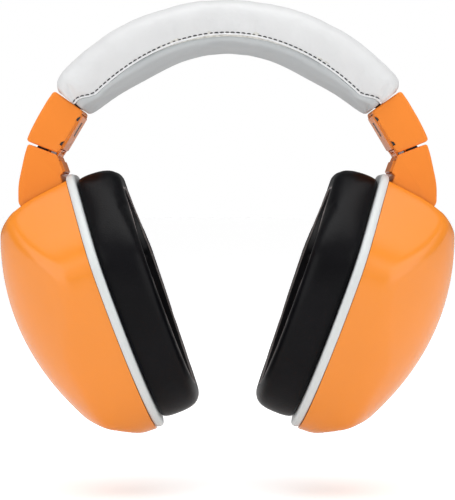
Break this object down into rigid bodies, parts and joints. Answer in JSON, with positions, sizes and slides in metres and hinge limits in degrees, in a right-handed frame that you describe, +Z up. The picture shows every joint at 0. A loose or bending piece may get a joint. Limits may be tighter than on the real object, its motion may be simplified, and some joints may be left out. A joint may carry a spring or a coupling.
{
  "type": "earmuff hearing protector",
  "caption": "Padded spring headband with telescopic end blocks and folding arms carrying two hard ear cups with soft cushions, for shielding the ears from noise.",
  "frame": {"origin": "centre of the underside of the headband pad, where the crown of the head rests", "axes": "+Z up along the head, +X to the wearer's left ear cup, from the one cup to the other, +Y to the back of the head; the view from the front looks along +Y"},
  "size_m": [0.1616, 0.0774, 0.1524],
  "materials": {
    "orange_plastic": "moulded, smooth with a soft gloss",
    "white_leatherette": "soft synthetic leather, faint wrinkles",
    "grey_leatherette": "soft synthetic leather, smooth",
    "trim_plastic": "satin",
    "black_leatherette": "soft synthetic leather, semi-gloss",
    "cushion_foam": "open-cell foam",
    "pad_foam": "open-cell foam",
    "black_plastic": "matt",
    "spring_steel": "brushed"
  },
  "bodies": {
    "headband": {"headband_outer_cover": "white_leatherette", "headband_inner_cover": "grey_leatherette", "headband_foam_pad": "pad_foam", "headband_spring_core": "spring_steel", "right_slider_guide": "black_plastic", "right_slider_drag_spring": "spring_steel", "right_guide_rivet": "spring_steel", "left_slider_guide": "black_plastic", "left_slider_drag_spring": "spring_steel", "left_guide_rivet": "spring_steel"},
    "right_slider": {"right_slide_strip": "spring_steel", "right_end_block_shell": "orange_plastic", "right_end_block_cover": "orange_plastic", "right_end_block_screw_1": "spring_steel", "right_end_block_screw_2": "spring_steel", "right_fold_hinge_pin": "spring_steel"},
    "right_arm": {"right_arm_shell": "orange_plastic", "right_arm_cover": "orange_plastic", "right_arm_screw": "spring_steel"},
    "right_cup": {"right_cup_pivot_pin": "spring_steel", "right_cup_shell": "orange_plastic", "right_cup_trim_ring": "trim_plastic", "right_cup_screw_1": "spring_steel", "right_cup_screw_2": "spring_steel", "right_cup_screw_3": "spring_steel", "right_cup_screw_4": "spring_steel", "right_cushion_plate": "black_plastic", "right_cushion_skin": "black_leatherette", "right_cushion_foam": "cushion_foam", "right_acoustic_foam": "cushion_foam"},
    "left_slider": {"left_slide_strip": "spring_steel", "left_end_block_shell": "orange_plastic", "left_end_block_cover": "orange_plastic", "left_end_block_screw_1": "spring_steel", "left_end_block_screw_2": "spring_steel", "left_fold_hinge_pin": "spring_steel"},
    "left_arm": {"left_arm_shell": "orange_plastic", "left_arm_cover": "orange_plastic", "left_arm_screw": "spring_steel"},
    "left_cup": {"left_cup_pivot_pin": "spring_steel", "left_cup_shell": "orange_plastic", "left_cup_trim_ring": "trim_plastic", "left_cup_screw_1": "spring_steel", "left_cup_screw_2": "spring_steel", "left_cup_screw_3": "spring_steel", "left_cup_screw_4": "spring_steel", "left_cushion_plate": "black_plastic", "left_cushion_skin": "black_leatherette", "left_cushion_foam": "cushion_foam", "left_acoustic_foam": "cushion_foam"}
  },
  "joints": [
    {"name": "right_height_slide", "type": "slide", "parent": "headband", "child": "right_slider", "axis": [0.5592, 0, -0.829], "range_m": [0, 0.016]},
    {"name": "right_fold_hinge", "type": "hinge", "parent": "right_slider", "child": "right_arm", "pos_m": [0.06109, 0, -0.03675], "axis": [0, 1, 0], "range_deg": [-3, 22]},
    {"name": "right_cup_tilt", "type": "hinge", "parent": "right_arm", "child": "right_cup", "pos_m": [0.06176, 0, -0.05859], "axis": [0, 1, 0], "range_deg": [-4, 4]},
    {"name": "left_height_slide", "type": "slide", "parent": "headband", "child": "left_slider", "axis": [-0.5592, 0, -0.829], "range_m": [0, 0.016]},
    {"name": "left_fold_hinge", "type": "hinge", "parent": "left_slider", "child": "left_arm", "pos_m": [-0.06109, 0, -0.03675], "axis": [0, 1, 0], "range_deg": [-22, 3]},
    {"name": "left_cup_tilt", "type": "hinge", "parent": "left_arm", "child": "left_cup", "pos_m": [-0.06176, 0, -0.05859], "axis": [0, 1, 0], "range_deg": [-4, 4]}
  ]
}
